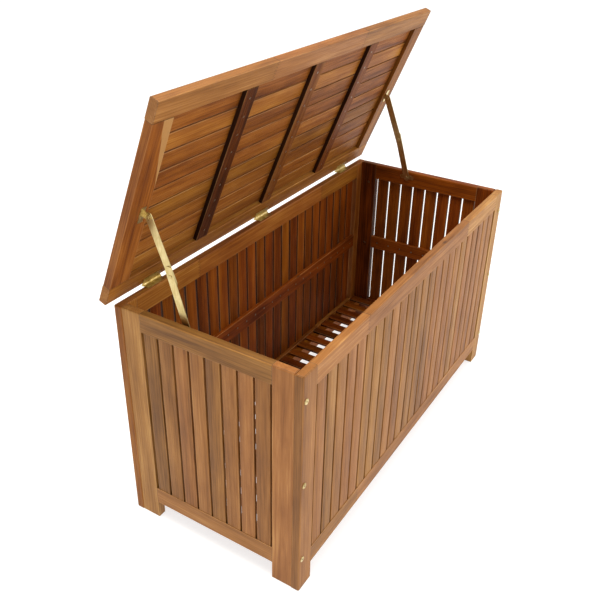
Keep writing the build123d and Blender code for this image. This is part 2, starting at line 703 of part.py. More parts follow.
def build_hinges(nodes):
    """Three butt hinges: box leaves, lid leaves, pins and screws."""
    nodes["hinge_box_leaves"] = group([on_box_axis(Pos(x, 0, 0) * hinge_leaf(False)) for x in hinge_places])
    nodes["hinge_lid_leaves"] = group([on_open_lid(Pos(x, 0, 0) * hinge_leaf(True)) for x in hinge_places])
    nodes["hinge_pins"] = group([on_box_axis(Pos(x, 0, 0) * hinge_pin()) for x in hinge_places])
    nodes["hinge_box_screws"] = group([on_box_axis(piece) for piece in hinge_screws(False)])
    nodes["hinge_lid_screws"] = group([on_open_lid(piece) for piece in hinge_screws(True)])
    cuts = [on_box_axis(piece) for piece in hinge_screws(False, screw_clearance)]
    nodes["rear_top_rail"] = nodes["rear_top_rail"] - cuts


def build_stays(nodes):
    """Two folding stays with their brackets, rivets and screws."""
    at_box = Pos(0, axis_y + box_pivot[0], axis_z + box_pivot[1])
    on_lid = Pos(0, *lid_pivot_closed)
    arm_hole = stay_rivet_radius + stay_rivet_clearance
    lower = swung(stay_arm(lower_start, stay_lower_length, arm_hole), box_pivot, elbow_open)
    upper = swung(stay_arm(upper_start, stay_upper_length, arm_hole), lid_pivot_open, elbow_open)
    lower_rivet = swung(elbow_rivet(lower_start, -1, stay_lower_length), box_pivot, elbow_open)
    upper_rivet = swung(elbow_rivet(upper_start, 1, stay_upper_length), lid_pivot_open, elbow_open)
    pairs = {"lower_arm": lower, "upper_arm": upper,
             "elbow_rivet_outer": lower_rivet, "elbow_rivet_inner": upper_rivet}
    for name, shape in pairs.items():
        for side, piece in zip(("left", "right"), both_sides(shape)):
            nodes[f"{side}_{name}"] = piece
    nodes["stay_box_brackets"] = group(both_sides(at_box * box_bracket()))
    nodes["stay_box_rivets"] = group(both_sides(at_box * box_rivet()))
    nodes["stay_lid_brackets"] = group(both_sides(on_open_lid(on_lid * lid_bracket())))
    nodes["stay_lid_rivets"] = group(both_sides(on_open_lid(on_lid * lid_rivet())))
    box_screws = [piece for shape in box_stay_screws() for piece in both_sides(at_box * shape)]
    lid_screws = [piece for shape in lid_stay_screws() for piece in both_sides(on_open_lid(on_lid * shape))]
    nodes["stay_box_screws"] = group(box_screws)
    nodes["stay_lid_screws"] = group(lid_screws)
    for side, piece_index in (("left", 0), ("right", 1)):
        cuts = [both_sides(at_box * hole)[piece_index] for hole in box_stay_screws(screw_clearance)]
        nodes[f"{side}_top_rail"] = nodes[f"{side}_top_rail"] - cuts


def build_nodes():
    """Every node of the box, by name, in the rest pose."""
    nodes = {}
    build_walls(nodes)
    build_floor(nodes)
    build_lid(nodes)
    build_hinges(nodes)
    build_stays(nodes)
    return nodes


def joint_summary():
    """Joint axes and coupling ratios that follow from the pivots."""
    lower_turn = (lean(box_pivot, elbow_closed) - lean(box_pivot, elbow_open)) % 360
    upper_turn = (lean(lid_pivot_closed, elbow_closed) - lean(lid_pivot_open, elbow_open)) % 360
    return {
        "hinge_axis": (0.0, axis_y, axis_z),
        "box_pivot": (0.0, axis_y + box_pivot[0], axis_z + box_pivot[1]),
        "lid_pivot": (0.0, axis_y + lid_pivot_open[0], axis_z + lid_pivot_open[1]),
        "lower_ratio": lower_turn / lid_open_angle,
        "upper_ratio": (upper_turn - lid_open_angle) / lid_open_angle,
    }


if __name__ == "__main__":
    os.makedirs("parts", exist_ok=True)
    for node_name, node_shape in build_nodes().items():
        export_step(node_shape, f"parts/{node_name}.step")
    for item, value in joint_summary().items():
        print(item, value)
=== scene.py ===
import logging
import random
from dataclasses import dataclass, field
from enum import Enum
from math import cos, pi, radians, sin, tau

import bmesh
import bpy
from mathutils import Matrix, Vector


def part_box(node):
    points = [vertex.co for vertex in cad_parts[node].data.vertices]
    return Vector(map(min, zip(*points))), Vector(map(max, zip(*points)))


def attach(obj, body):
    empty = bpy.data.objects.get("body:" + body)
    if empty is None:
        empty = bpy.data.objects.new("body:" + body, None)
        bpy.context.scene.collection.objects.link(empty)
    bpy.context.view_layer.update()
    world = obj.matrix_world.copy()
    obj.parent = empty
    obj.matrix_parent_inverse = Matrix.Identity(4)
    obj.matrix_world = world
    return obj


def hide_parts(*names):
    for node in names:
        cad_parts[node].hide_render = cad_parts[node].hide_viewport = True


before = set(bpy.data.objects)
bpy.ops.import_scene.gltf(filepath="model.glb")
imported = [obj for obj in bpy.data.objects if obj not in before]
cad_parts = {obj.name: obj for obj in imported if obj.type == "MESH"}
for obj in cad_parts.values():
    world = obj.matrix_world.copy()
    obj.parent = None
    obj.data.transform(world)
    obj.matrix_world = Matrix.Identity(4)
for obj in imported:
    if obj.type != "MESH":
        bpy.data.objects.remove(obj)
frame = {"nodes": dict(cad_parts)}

logging.basicConfig(level=logging.INFO, format="%(message)s")
log = logging.getLogger("deck_box")

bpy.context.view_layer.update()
MM = 0.001
LID_OPEN = radians(67.5)
TENON = 24 * MM
TREE_SEED = 7
TREE_SPAN = (0.0, 10.0)
UNJOINTED = 5.0
SEED_COUNT = 1000
CREASE = radians(32)

MATH = "ShaderNodeMath"
VECTOR_MATH = "ShaderNodeVectorMath"
COMBINE = "ShaderNodeCombineXYZ"
NOISE = "ShaderNodeTexNoise"
RANGE = "ShaderNodeMapRange"
MIX = "ShaderNodeMix"


# ---- Small helpers -----------------------------------------------------------

def linear(hex_colour: str) -> tuple[float, float, float, float]:
    """Turns an sRGB hex colour into linear RGBA.

    Args:
        hex_colour: six hex digits, with or without a leading #.

    Returns:
        The colour as Blender's sockets take it.
    """
    digits = hex_colour.lstrip("#")
    shares = [int(digits[i:i + 2], 16) / 255 for i in (0, 2, 4)]
    curved = [s / 12.92 if s <= 0.04045 else ((s + 0.055) / 1.055) ** 2.4 for s in shares]
    return (*curved, 1.0)


def add(tree: bpy.types.NodeTree, kind: str, inputs: dict | None = None, **settings) -> bpy.types.Node:
    """Adds a node with its settings and links.

    Args:
        tree: the tree that gets the node.
        kind: the node's type name.
        inputs: socket name or number to a value, an output socket, or a node whose first output is meant.
        **settings: properties of the node itself.

    Returns:
        The new node.
    """
    node = tree.nodes.new(kind)
    for name, value in settings.items():
        setattr(node, name, value)
    for key, value in (inputs or {}).items():
        if isinstance(value, bpy.types.Node):
            value = value.outputs[0]
        if isinstance(value, bpy.types.NodeSocket):
            tree.links.new(value, node.inputs[key])
        else:
            node.inputs[key].default_value = value
    return node


def ramp(tree: bpy.types.NodeTree, share: bpy.types.Node, stops: list[tuple[float, str]]) -> bpy.types.Node:
    """Spreads colours over a share from 0 to 1.

    Args:
        tree: the tree that gets the ramp.
        share: the node whose first output is looked up.
        stops: places and sRGB hex colours, in order.

    Returns:
        The ramp node.
    """
    node = add(tree, "ShaderNodeValToRGB", {0: share})
    elements = node.color_ramp.elements
    while len(elements) < len(stops):
        elements.new(0.5)
    for element, (place, colour) in zip(elements, stops):
        element.position = place
        element.color = linear(colour)
    return node


def new_surface(name: str) -> tuple[bpy.types.Material, bpy.types.NodeTree, bpy.types.Node]:
    """Starts a material.

    Args:
        name: the material's name.

    Returns:
        The material, its tree and its Principled shader.
    """
    material = bpy.data.materials.new(name)
    material.use_nodes = True
    shader = material.node_tree.nodes["Principled BSDF"]
    return material, material.node_tree, shader


def extent(node: str, axes: Matrix) -> tuple[Vector, Vector]:
    """Measures a CAD node along a board's own axes.

    Args:
        node: the CAD node's name.
        axes: 3 by 3 matrix whose columns are the board's grain, width and thickness directions.

    Returns:
        The centre in the row frame, and the half sizes along the three directions.
    """
    inverse = axes.transposed()
    points = [inverse @ vertex.co for vertex in frame["nodes"][node].data.vertices]
    low = Vector([min(p[i] for p in points) for i in range(3)])
    high = Vector([max(p[i] for p in points) for i in range(3)])
    return axes @ ((low + high) / 2), (high - low) / 2


def dress(node: str, material: bpy.types.Material) -> None:
    """Gives a CAD node one material in place of all it came with.

    Args:
        node: the CAD node's name.
        material: the finished material.
    """
    materials = frame["nodes"][node].data.materials
    materials.clear()
    materials.append(material)


def plain_mesh(piece: bpy.types.Object, place: Matrix) -> bpy.types.Object:
    """Turns a piece's modifiers into a plain mesh with its place in its vertices.

    Args:
        piece: an object whose modifiers are all set.
        place: where the finished mesh goes in the row frame.

    Returns:
        The same object, at the origin, with no modifiers.
    """
    graph = bpy.context.evaluated_depsgraph_get()
    mesh = bpy.data.meshes.new_from_object(
        piece.evaluated_get(graph), preserve_all_data_layers=True, depsgraph=graph)
    mesh.name = piece.name
    piece.modifiers.clear()
    piece.data = mesh
    mesh.transform(place)
    mesh.shade_smooth()
    mesh.set_sharp_from_angle(angle=CREASE)
    return piece


class Run(Enum):
    """Which way a board's grain and width run: the grain direction, then the width direction."""

    RAIL_ALONG_X = ((1, 0, 0), (0, 0, 1))
    RAIL_ALONG_Y = ((0, 1, 0), (0, 0, 1))
    UPRIGHT_FACING_Y = ((0, 0, 1), (1, 0, 0))
    UPRIGHT_FACING_X = ((0, 0, 1), (0, 1, 0))
    FLAT_ALONG_X = ((1, 0, 0), (0, 1, 0))
    FLAT_ALONG_Y = ((0, 1, 0), (1, 0, 0))

    def axes(self, on_lid: bool = False) -> Matrix:
        """Board directions as a matrix's columns.

        Args:
            on_lid: True turns them with the lid from closed to its rest pose.

        Returns:
            A 3 by 3 rotation: grain, width, thickness.
        """
        grain, width = (Vector(v) for v in self.value)
        axes = Matrix((grain, width, grain.cross(width))).transposed()
        return Matrix.Rotation(-LID_OPEN, 3, "X") @ axes if on_lid else axes


# ---- Finishes ----------------------------------------------------------------

class Tone(Enum):
    """Colour families of the boards, from shadow streak to pale streak. The russet family is the wood with
    painted shade: darker and redder, for the boards seen from inside the box.
    """

    GOLDEN = [(0.0, "48270D"), (0.25, "724217"), (0.5, "925B25"), (0.72, "A86E34"), (1.0, "C69050")]
    AMBER = [(0.0, "3C1D06"), (0.25, "6C360B"), (0.5, "905014"), (0.72, "A96724"), (1.0, "C88C3E")]
    # Painted shade: the russet family stands for the wood inside the box, darker and redder than outside.
    RUSSET = [(0.0, "2A0F02"), (0.25, "562203"), (0.5, "823B07"), (0.72, "9E4E0E"), (1.0, "B87024")]
    WALNUT = [(0.0, "1C0A02"), (0.25, "361403"), (0.5, "542306"), (0.72, "703710"), (1.0, "8C5224")]


@dataclass(frozen=True)
class OiledAcacia:
    """Planed and oiled acacia: satin sheen, soft bands along the board, rings that show as arcs on
    the ends, short dark pores, a pin knot here and there, and arrises that handling has worn
    lighter, with a painted highlight on them as well. Sawn sides and ends drink more oil than
    planed faces and go darker, and the sides along the grain also carry painted shade, as in the
    gaps between boards.

    Attributes:
        name: the material's name.
        tone: the board's colour family.
        axes: grain, width and thickness directions as columns.
        centre: the board's centre in the row frame.
        half: half length, half width and half thickness.
        seed: which part of the tree the board is cut from; None reads it from each slat.
        lightness: added to the board's place in its colour family.
        jointed: length of the pieces that are finger-jointed end to end.
        variety: how far one board, or jointed piece, may differ from the next.
        sawn_and_shade: how dark the sides along the grain are, from 0 to 1: their own darker oiled wood and
            painted shade.
        pale_wedge_size: length and width of a pale wedge at the board's inner front corner.
        ring_spacing: between growth rings.
        pore_width: width of a pore, drawn about three times as wide as real so that it shows.
        pore_length: length of a pore along the grain.
        finger_pitch: half the width of one finger of a joint.
        finger_length: how far the fingers reach.
        glue_width: the joint's dark line, drawn coarser than real so that it shows.
        knot_spacing: between places where a pin knot may stand.
        worn_and_highlit_width: how far from an arris the wood is worn lighter and carries its painted
            highlight.
    """

    name: str
    tone: Tone
    axes: Matrix
    centre: Vector
    half: Vector
    seed: float | None = None
    lightness: float = 0.0
    jointed: float = UNJOINTED
    variety: float = 0.3
    sawn_and_shade: float = 0.8
    pale_wedge_size: tuple[float, float] = (0.0, 0.0)
    ring_spacing: float = 5.5 * MM
    pore_width: float = 0.7 * MM
    pore_length: float = 14 * MM
    finger_pitch: float = 4 * MM
    finger_length: float = 9 * MM
    glue_width: float = 2.4 * MM
    knot_spacing: float = 90 * MM
    worn_and_highlit_width: float = 2.2 * MM

    def coordinates(self, tree: bpy.types.NodeTree) -> tuple[bpy.types.NodeSocket, object]:
        """Finds a point's place in its board, and the board's seed.

        Args:
            tree: the material's tree.

        Returns:
            The place vector in metres and the seed as a socket or a number.
        """
        if self.seed is None:
            place = add(tree, "ShaderNodeAttribute", attribute_name="board_place")
            seed = add(tree, "ShaderNodeAttribute", attribute_name="board_seed")
            return place.outputs["Vector"], seed.outputs["Fac"]
        inverse = self.axes.transposed()
        where = add(tree, "ShaderNodeTexCoord").outputs["Object"]
        place = add(tree, "ShaderNodeMapping", {
            "Vector": where, "Location": -(inverse @ self.centre), "Rotation": inverse.to_euler()})
        return place.outputs[0], self.seed

    def gloss(self) -> float:
        """Specular level: the darker a board, the deeper its oil has sunk in."""
        return {Tone.GOLDEN: 0.36, Tone.AMBER: 0.24, Tone.RUSSET: 0.15, Tone.WALNUT: 0.12}[self.tone]

    def stretched(self, tree: bpy.types.NodeTree, place: bpy.types.Node, length: float, width: float,
                  detail: float) -> bpy.types.Node:
        """Makes noise whose marks are drawn out along the grain.

        Args:
            tree: the material's tree.
            place: where in the tree the point lies.
            length: length of a mark in metres.
            width: width of a mark in metres.
            detail: how many finer layers lie on it.

        Returns:
            The noise node.
        """
        scaled = add(tree, VECTOR_MATH, {0: place, 1: (1 / length, 1 / width, 1 / width)},
                     operation="MULTIPLY")
        return add(tree, NOISE, {"Vector": scaled, "Scale": 1.0, "Detail": detail, "Roughness": 0.6})

    def blend(self, tree: bpy.types.NodeTree, share: object, amount: float, first: bpy.types.NodeSocket,
              second: str) -> bpy.types.NodeSocket:
        """Mixes a colour in over what is there.

        Args:
            tree: the material's tree.
            share: the mask.
            amount: the mask's full strength.
            first: the colour so far.
            second: the sRGB hex colour to mix in.

        Returns:
            The mixed colour.
        """
        factor = add(tree, MATH, {0: share, 1: amount}, operation="MULTIPLY")
        mixed = add(tree, MIX, {"Factor": factor, 6: first, 7: linear(second)}, data_type="RGBA")
        return mixed.outputs[2]

    def wear_and_highlight_masks(self, tree: bpy.types.NodeTree,
             parts: bpy.types.Node) -> tuple[bpy.types.Node, bpy.types.Node]:
        """Masks the arrises, where two faces meet, and the fine dark line at the board's ends.

        Args:
            tree: the material's tree.
            parts: the separated place in the board.

        Returns:
            The arris mask and the end line mask.
        """
        gaps = [add(tree, MATH, {0: side, 1: add(tree, MATH, {0: parts.outputs[i]}, operation="ABSOLUTE")},
                    operation="SUBTRACT") for i, side in enumerate(self.half)]
        low = add(tree, MATH, {0: gaps[0], 1: gaps[1]}, operation="MINIMUM")
        high = add(tree, MATH, {0: gaps[0], 1: gaps[1]}, operation="MAXIMUM")
        middle = add(tree, MATH, {0: high, 1: gaps[2]}, operation="MINIMUM")
        second = add(tree, MATH, {0: low, 1: middle}, operation="MAXIMUM")
        arris = add(tree, RANGE, {"Value": second, "From Min": 0.0, "From Max": self.worn_and_highlit_width,
                                  "To Min": 1.0, "To Max": 0.0}, interpolation_type="SMOOTHSTEP")
        line = add(tree, RANGE, {"Value": gaps[0], "From Min": 0.3 * MM, "From Max": 1.6 * MM,
                                 "To Min": 1.0, "To Max": 0.0}, interpolation_type="SMOOTHSTEP")
        return arris, line

    def count_pieces(self, tree: bpy.types.NodeTree, parts: bpy.types.Node) -> bpy.types.Node:
        """Counts finger-jointed pieces along the board; whole numbers fall on the joints' zigzags.

        Args:
            tree: the material's tree.
            parts: the separated place in the board.

        Returns:
            The node that counts.
        """
        along, across, _ = parts.outputs
        finger = add(tree, MATH, {0: across, 1: self.finger_pitch}, operation="PINGPONG")
        reach = add(tree, MATH, {0: finger, 1: self.finger_length / self.finger_pitch, 2: along},
                    operation="MULTIPLY_ADD")
        return add(tree, MATH, {0: reach, 1: 1 / self.jointed, 2: 0.5}, operation="MULTIPLY_ADD")

    def piece_lots(self, tree: bpy.types.NodeTree, pieces: bpy.types.Node,
                   far: bpy.types.Node) -> bpy.types.Node:
        """Draws three numbers for each length between finger joints.

        Args:
            tree: the material's tree.
            pieces: the count of pieces along the board.
            far: the seed spread over the tree.

        Returns:
            A node whose three outputs run from 0 to 1.
        """
        number = add(tree, MATH, {0: pieces}, operation="FLOOR")
        address = add(tree, COMBINE, {0: number, 1: far, 2: 0.5})
        lot = add(tree, "ShaderNodeTexWhiteNoise", {"Vector": address}, noise_dimensions="3D")
        return add(tree, "ShaderNodeSeparateColor", {0: lot.outputs["Color"]})

    def rings(self, tree: bpy.types.NodeTree, parts: bpy.types.Node, shifted: bpy.types.Node,
              lots: bpy.types.Node) -> bpy.types.Node:
        """Draws growth rings about a pith that lies outside the board and wanders along it.

        Args:
            tree: the material's tree.
            parts: the separated place in the board.
            shifted: where in the tree the point lies.
            lots: the jointed piece's three numbers.

        Returns:
            The dark rings' mask.
        """
        _, across, deep = parts.outputs
        bend = self.stretched(tree, shifted, 0.6, 0.09, 3.0)
        side = add(tree, MATH, {0: lots.outputs[0], 1: 0.09, 2: across}, operation="MULTIPLY_ADD")
        below = add(tree, MATH, {0: deep, 1: 0.012}, operation="ADD")
        depth = add(tree, MATH, {0: lots.outputs[1], 1: 0.05, 2: below}, operation="MULTIPLY_ADD")
        radius = add(tree, VECTOR_MATH, {0: add(tree, COMBINE, {1: side, 2: depth})}, operation="LENGTH")
        wander = add(tree, MATH, {0: bend, 1: 0.030, 2: radius.outputs["Value"]}, operation="MULTIPLY_ADD")
        phase = add(tree, MATH, {0: wander, 1: tau / self.ring_spacing}, operation="MULTIPLY")
        swing = add(tree, MATH, {0: phase}, operation="SINE")
        return add(tree, RANGE, {"Value": swing, "From Min": -0.2, "From Max": 1.0})

    def knots(self, tree: bpy.types.NodeTree, shifted: bpy.types.Node) -> bpy.types.Node:
        """Scatters pin knots: small dark eyes, longer along the grain.

        Args:
            tree: the material's tree.
            shifted: where in the tree the point lies.

        Returns:
            The knots' mask.
        """
        scale = 1 / self.knot_spacing
        scaled = add(tree, VECTOR_MATH, {0: shifted, 1: (0.4 * scale, scale, scale)}, operation="MULTIPLY")
        cells = add(tree, "ShaderNodeTexVoronoi", {"Vector": scaled, "Scale": 1.0})
        kept = add(tree, "ShaderNodeSeparateColor", {0: cells.outputs["Color"]})
        eye = add(tree, RANGE, {"Value": cells.outputs["Distance"], "From Min": 0.02, "From Max": 0.075,
                                "To Min": 1.0, "To Max": 0.0}, interpolation_type="SMOOTHSTEP")
        chosen = add(tree, MATH, {0: kept, 1: 0.45}, operation="LESS_THAN")
        return add(tree, MATH, {0: eye, 1: chosen}, operation="MULTIPLY")

    def material(self) -> bpy.types.Material:
        """Builds the wood's node tree.

        Returns:
            The finished material.
        """
        material, tree, shader = new_surface(self.name)
        place, seed = self.coordinates(tree)
        parts = add(tree, "ShaderNodeSeparateXYZ", {0: place})
        far = add(tree, MATH, {0: seed, 1: 37.0}, operation="MULTIPLY")
        shifted = add(tree, VECTOR_MATH, {0: place, 1: add(tree, COMBINE, {0: far, 1: far, 2: far})},
                      operation="ADD")
        pieces = self.count_pieces(tree, parts)
        lots = self.piece_lots(tree, pieces, far)
        ring = self.rings(tree, parts, shifted, lots)
        fibre = self.stretched(tree, shifted, 0.16, 5 * MM, 5.0)
        grain = self.stretched(tree, shifted, 0.07, 2.4 * MM, 2.0)
        band = self.stretched(tree, shifted, 0.55, 30 * MM, 2.0)
        cloud = self.stretched(tree, shifted, 0.14, 45 * MM, 2.0)
        pores = self.stretched(tree, shifted, self.pore_length, self.pore_width, 1.5)
        pore = add(tree, RANGE, {"Value": pores, "From Min": 0.60, "From Max": 0.74})

        # The board's place in its colour family: a sum of layers about a middle value.
        layers = ((grain, 0.34), (fibre, 0.55), (band, 0.75), (cloud, 0.5),
                  (lots.outputs[2], self.variety), (ring, -0.09))
        tone = 0.5 + self.lightness - sum(weight for _, weight in layers) / 2
        for layer, weight in layers:
            tone = add(tree, MATH, {0: layer, 1: weight, 2: tone}, operation="MULTIPLY_ADD")
        colour = ramp(tree, tone, self.tone.value)
        # Pieces of one board differ a little in hue too.
        hue = add(tree, MATH, {0: lots.outputs[0], 1: 0.012, 2: 0.498}, operation="MULTIPLY_ADD")
        colour = add(tree, "ShaderNodeHueSaturation", {"Hue": hue, "Color": colour}).outputs[0]

        # A pale wedge, worn arrises with a painted highlight, pores, knots, the glue line of a finger
        # joint, the dark line at a butt joint, end grain, and sides along the grain darkened by oil and
        # painted shade.
        arris, line = self.wear_and_highlight_masks(tree, parts)
        end, side = (self.facing(tree, self.axes.col[i]) for i in (0, 1))
        colour = self.pale_wedge(tree, parts, fibre, colour)
        # Arrises are lighter: wear from handling, and a painted highlight along the edges.
        patchy = add(tree, RANGE, {"Value": fibre, "From Min": 0.35, "From Max": 0.6})
        rubbed_and_highlit = add(tree, MATH, {0: arris, 1: patchy}, operation="MULTIPLY")
        colour = self.blend(tree, rubbed_and_highlit, 0.5, colour, "D2A069")
        colour = self.blend(tree, pore, 0.35, colour, "3B1F10")
        colour = self.blend(tree, self.knots(tree, shifted), 0.7, colour, "2E170B")
        gap = add(tree, MATH, {0: pieces, 1: 0.5}, operation="PINGPONG")
        glue = add(tree, RANGE, {"Value": gap, "From Max": self.glue_width / self.jointed,
                                 "To Min": 1.0, "To Max": 0.0})
        colour = self.blend(tree, glue, 0.6, colour, "3B1F10")
        beside_end = add(tree, MATH, {0: line, 1: end}, operation="SUBTRACT", use_clamp=True)
        colour = self.blend(tree, beside_end, 0.8, colour, "1E0F07")
        colour = self.blend(tree, end, 0.4, colour, "8A5A2E")
        # Sides along the grain go darker: partly their own oiled saw-cut wood, partly painted shade in the
        # gaps between boards.
        colour = self.blend(tree, side, self.sawn_and_shade, colour, "1C0C05")

        tree.links.new(colour, shader.inputs["Base Color"])
        sheen = add(tree, RANGE, {"Value": fibre, "From Min": 0.3, "From Max": 0.7,
                                  "To Min": 0.58, "To Max": 0.46})
        roughness = add(tree, MATH, {0: arris, 1: 0.08, 2: sheen}, operation="MULTIPLY_ADD")
        tree.links.new(roughness.outputs[0], shader.inputs["Roughness"])
        height = add(tree, MATH, {0: pore, 1: -0.9, 2: fibre}, operation="MULTIPLY_ADD")
        height = add(tree, MATH, {0: ring, 1: 0.25, 2: height}, operation="MULTIPLY_ADD")
        bump = add(tree, "ShaderNodeBump", {"Height": height, "Strength": 0.3, "Distance": 0.5 * MM})
        tree.links.new(bump.outputs[0], shader.inputs["Normal"])
        shader.inputs["IOR"].default_value = 1.45
        shader.inputs["Specular IOR Level"].default_value = self.gloss()
        return material

    def pale_wedge(self, tree: bpy.types.NodeTree, parts: bpy.types.Node, fibre: bpy.types.Node,
                   colour: bpy.types.NodeSocket) -> bpy.types.NodeSocket:
        """Lays a pale tapering wedge along the inner edge, from the front end back.

        Args:
            tree: the material's tree.
            parts: the separated place in the board.
            fibre: the fibre noise, which frays the wedge's border.
            colour: the colour so far.

        Returns:
            The colour to use.
        """
        length, width = self.pale_wedge_size
        if not length:
            return colour
        back = add(tree, MATH, {0: parts.outputs[0], 1: self.half.x}, operation="ADD")
        reach = add(tree, MATH, {0: back, 1: -width / length, 2: width}, operation="MULTIPLY_ADD")
        inward = add(tree, MATH, {0: self.half.y, 1: parts.outputs[1]}, operation="SUBTRACT")
        inside = add(tree, MATH, {0: reach, 1: inward}, operation="SUBTRACT")
        frayed = add(tree, MATH, {0: fibre, 1: 6 * MM, 2: inside}, operation="MULTIPLY_ADD")
        share = add(tree, RANGE, {"Value": frayed, "From Min": 2 * MM, "From Max": 4.5 * MM},
                    interpolation_type="SMOOTHSTEP")
        return self.blend(tree, share, 0.85, colour, "B98A52")

    def facing(self, tree: bpy.types.NodeTree, direction: Vector) -> bpy.types.Node:
        """Masks the faces that look along a direction, either way.

        Args:
            tree: the material's tree.
            direction: the direction in the row frame.

        Returns:
            The mask.
        """
        normal = add(tree, "ShaderNodeTexCoord").outputs["Normal"]
        cosine = add(tree, VECTOR_MATH, {0: normal, 1: direction}, operation="DOT_PRODUCT").outputs["Value"]
        size = add(tree, MATH, {0: cosine}, operation="ABSOLUTE")
        return add(tree, RANGE, {"Value": size, "From Min": 0.75, "From Max": 0.97},
                   interpolation_type="SMOOTHSTEP")


@dataclass(frozen=True)
class SolidBrass:
    """Stamped and tumbled solid brass, lightly tarnished: pale gold, satin, with faint rolling
    lines along the strip and darker, browner patches.

    Attributes:
        name: the material's name.
        lines: stretch of the rolling lines along X, Y and Z, in lines a metre.
        tarnished: how strongly the patches show, from 0 to 1.
    """

    name: str = "tumbled_brass"
    lines: tuple[float, float, float] = (900.0, 900.0, 60.0)
    tarnished: float = 1.0

    def material(self) -> bpy.types.Material:
        """Builds the brass's node tree."""
        material, tree, shader = new_surface(self.name)
        where = add(tree, "ShaderNodeTexCoord").outputs["Object"]
        tarnish = add(tree, NOISE, {"Vector": where, "Scale": 55.0, "Detail": 5.0, "Roughness": 0.6})
        rolled = add(tree, NOISE, {"Vector": add(tree, VECTOR_MATH, {0: where, 1: self.lines},
                                                 operation="MULTIPLY"), "Scale": 1.0, "Detail": 3.0})
        mixed = add(tree, MATH, {0: rolled, 1: 0.45, 2: add(
            tree, MATH, {0: tarnish, 1: 0.55}, operation="MULTIPLY")}, operation="MULTIPLY_ADD")
        mixed = add(tree, MATH, {0: mixed, 1: self.tarnished, 2: 0.54 * (1 - self.tarnished)},
                    operation="MULTIPLY_ADD")
        colour = ramp(tree, mixed, [(0.34, "7C662E"), (0.46, "BBA468"), (0.58, "DCCB98"), (0.9, "F4EACA")])
        tree.links.new(colour.outputs[0], shader.inputs["Base Color"])
        rough = add(tree, RANGE, {"Value": mixed, "From Min": 0.3, "From Max": 0.7,
                                  "To Min": 0.40, "To Max": 0.24})
        tree.links.new(rough.outputs[0], shader.inputs["Roughness"])
        bump = add(tree, "ShaderNodeBump", {"Height": mixed, "Strength": 0.2, "Distance": 0.2 * MM})
        tree.links.new(bump.outputs[0], shader.inputs["Normal"])
        shader.inputs["Metallic"].default_value = 1.0
        return material


@dataclass(frozen=True)
class ZincPlatedSteel:
    """Zinc-plated steel screws: dulled warm grey, finely mottled, half matt.

    Attributes:
        name: the material's name.
    """

    name: str = "zinc_plated_steel"

    def material(self) -> bpy.types.Material:
        """Builds the plating's node tree."""
        material, tree, shader = new_surface(self.name)
        where = add(tree, "ShaderNodeTexCoord").outputs["Object"]
        mottle = add(tree, NOISE, {"Vector": where, "Scale": 420.0, "Detail": 3.0})
        colour = ramp(tree, mottle, [(0.3, "6A6052"), (0.55, "988C78"), (0.8, "C2B8A4")])
        tree.links.new(colour.outputs[0], shader.inputs["Base Color"])
        rough = add(tree, RANGE, {"Value": mottle, "From Min": 0.3, "From Max": 0.7,
                                  "To Min": 0.5, "To Max": 0.32})
        tree.links.new(rough.outputs[0], shader.inputs["Roughness"])
        shader.inputs["Metallic"].default_value = 1.0
        return material


# ---- Pieces that Geometry Nodes repeat ------------------------------------------

def new_geometry_tree(name: str, sockets: list[tuple[str, str]]) -> tuple[bpy.types.NodeTree, dict, dict]:
    """Starts a Geometry Nodes tree with named inputs.

    Args:
        name: the tree's name.
        sockets: input names and socket types, in order.

    Returns:
        The tree, its input sockets by name inside the tree, and their identifiers by name.
    """
    tree = bpy.data.node_groups.new(name, "GeometryNodeTree")
    tree.interface.new_socket("Geometry", in_out="INPUT", socket_type="NodeSocketGeometry")
    tree.interface.new_socket("Geometry", in_out="OUTPUT", socket_type="NodeSocketGeometry")
    identifiers = {}
    for label, kind in sockets:
        made = tree.interface.new_socket(label, in_out="INPUT", socket_type=kind)
        identifiers[label] = made.identifier
    group = tree.nodes.new("NodeGroupInput")
    return tree, {s.name: s for s in group.outputs}, identifiers


def finish_tree(tree: bpy.types.NodeTree, shape: bpy.types.Node, material: bpy.types.NodeSocket) -> None:
    """Ends a tree in Realize Instances and Set Material.

    Args:
        tree: the Geometry Nodes tree.
        shape: the node whose geometry is finished.
        material: the tree's material input.
    """
    real = add(tree, "GeometryNodeRealizeInstances", {0: shape})
    painted = add(tree, "GeometryNodeSetMaterial", {"Geometry": real, "Material": material})
    output = tree.nodes.new("NodeGroupOutput")
    tree.links.new(painted.outputs[0], output.inputs[0])


def run_tree(name: str, base: bpy.types.Mesh, tree: bpy.types.NodeTree, identifiers: dict,
             values: dict, place: Matrix) -> bpy.types.Object:
    """Makes one plain mesh piece with a tree.

    Args:
        name: the piece's name.
        base: the mesh that the modifier stands on.
        tree: the Geometry Nodes tree.
        identifiers: the tree's input identifiers by name.
        values: the inputs' values by name.
        place: where the piece goes in the row frame.

    Returns:
        The finished piece.
    """
    piece = bpy.data.objects.new(name, base)
    bpy.context.scene.collection.objects.link(piece)
    modifier = piece.modifiers.new("repeat", "NODES")
    modifier.node_group = tree
    for label, value in values.items():
        modifier[identifiers[label]] = value
    return plain_mesh(piece, place)


